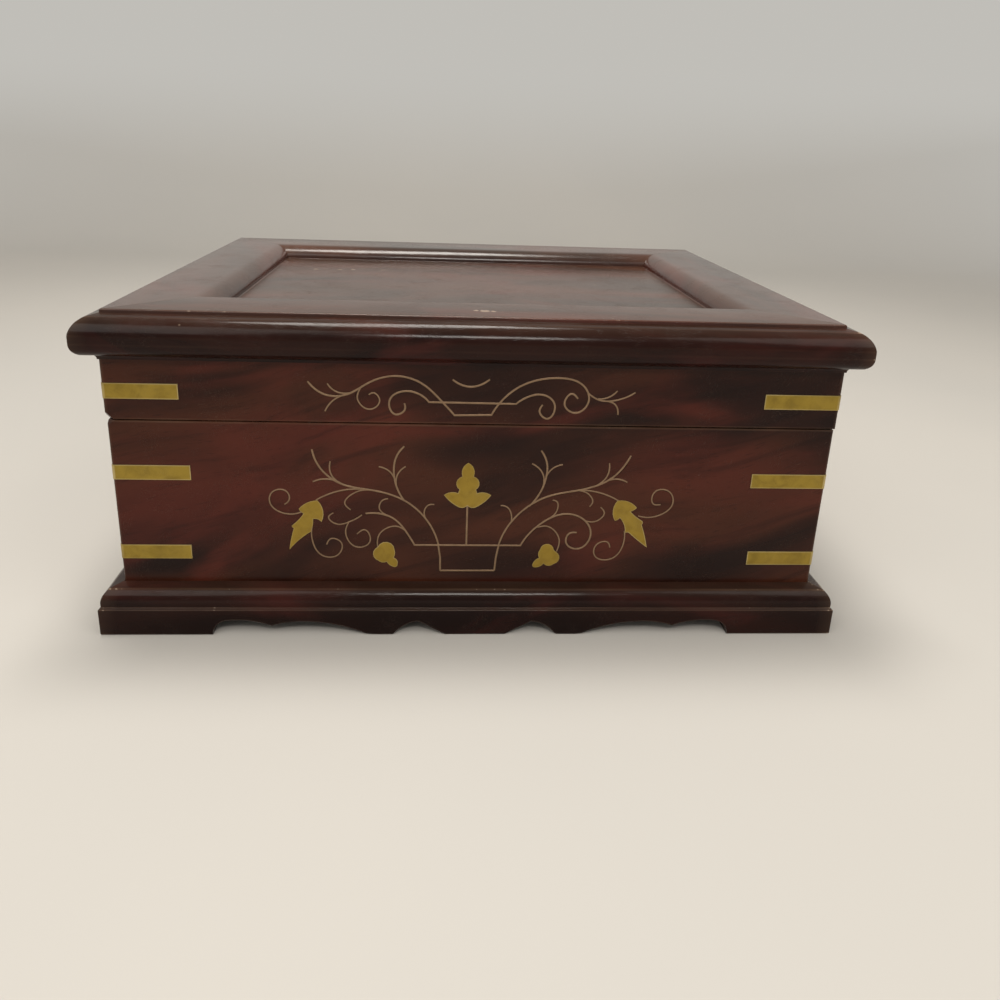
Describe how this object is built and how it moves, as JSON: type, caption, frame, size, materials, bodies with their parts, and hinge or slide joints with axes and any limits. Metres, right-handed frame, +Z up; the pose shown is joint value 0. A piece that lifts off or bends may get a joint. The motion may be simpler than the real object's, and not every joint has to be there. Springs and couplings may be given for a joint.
{
  "type": "jewelry chest",
  "caption": "Small hardwood chest with a hinged box lid, moulded plinth and cornice, brass corner straps and a brass vine inlay.",
  "frame": {"origin": "middle of the footprint, on the surface that the plinth stands on", "axes": "+X to the right as seen from the front, +Y to the back where the hinges are, +Z up"},
  "size_m": [0.3176, 0.2576, 0.1387],
  "materials": {
    "board_wood": "glossy dark reddish-brown lacquer",
    "moulding_wood": "glossy dark reddish-brown lacquer, worn pale at the mitres",
    "lid_wood": "glossy brown lacquer with fine scratches",
    "strap_brass": "aged, finely scratched",
    "leaf_brass": "aged satin",
    "wire_brass": "pale, rubbed",
    "hinge_brass": "aged satin",
    "velvet": "dark red short pile"
  },
  "bodies": {
    "case": {"bottom_panel": "board_wood", "case_back": "board_wood", "case_front": "board_wood", "case_left": "board_wood", "case_right": "board_wood", "hinge_left_case_leaf": "hinge_brass", "hinge_left_pin": "hinge_brass", "hinge_right_case_leaf": "hinge_brass", "hinge_right_pin": "hinge_brass", "hinge_screws_case": "hinge_brass", "inlay_bud_left": "leaf_brass", "inlay_bud_right": "leaf_brass", "inlay_leaf_centre": "leaf_brass", "inlay_leaf_left": "leaf_brass", "inlay_leaf_right": "leaf_brass", "inlay_vase": "wire_brass", "inlay_vine_left": "wire_brass", "inlay_vine_right": "wire_brass", "lining_back": "velvet", "lining_floor": "velvet", "lining_front": "velvet", "lining_left": "velvet", "lining_right": "velvet", "plinth_back": "moulding_wood", "plinth_front": "moulding_wood", "plinth_left": "moulding_wood", "plinth_right": "moulding_wood", "strap_lower_back_left": "strap_brass", "strap_lower_back_right": "strap_brass", "strap_lower_front_left": "strap_brass", "strap_lower_front_right": "strap_brass", "strap_upper_back_left": "strap_brass", "strap_upper_back_right": "strap_brass", "strap_upper_front_left": "strap_brass", "strap_upper_front_right": "strap_brass"},
    "lid": {"cornice_back": "moulding_wood", "cornice_front": "moulding_wood", "cornice_left": "moulding_wood", "cornice_right": "moulding_wood", "hinge_left_lid_leaf": "hinge_brass", "hinge_right_lid_leaf": "hinge_brass", "hinge_screws_lid": "hinge_brass", "inlay_lid_crest": "wire_brass", "inlay_lid_vase": "wire_brass", "inlay_lid_vine_left": "wire_brass", "inlay_lid_vine_right": "wire_brass", "lid_panel": "lid_wood", "lid_rail_back": "lid_wood", "lid_rail_front": "lid_wood", "lid_rail_left": "lid_wood", "lid_rail_right": "lid_wood", "lining_lid": "velvet", "skirt_back": "board_wood", "skirt_front": "board_wood", "skirt_left": "board_wood", "skirt_right": "board_wood", "strap_lid_back_left": "strap_brass", "strap_lid_back_right": "strap_brass", "strap_lid_front_left": "strap_brass", "strap_lid_front_right": "strap_brass"}
  },
  "joints": [
    {"name": "lid_hinge", "type": "hinge", "parent": "case", "child": "lid", "pos_m": [0, 0.117, 0.09385], "axis": [-1, 0, 0], "range_deg": [0, 98]}
  ]
}
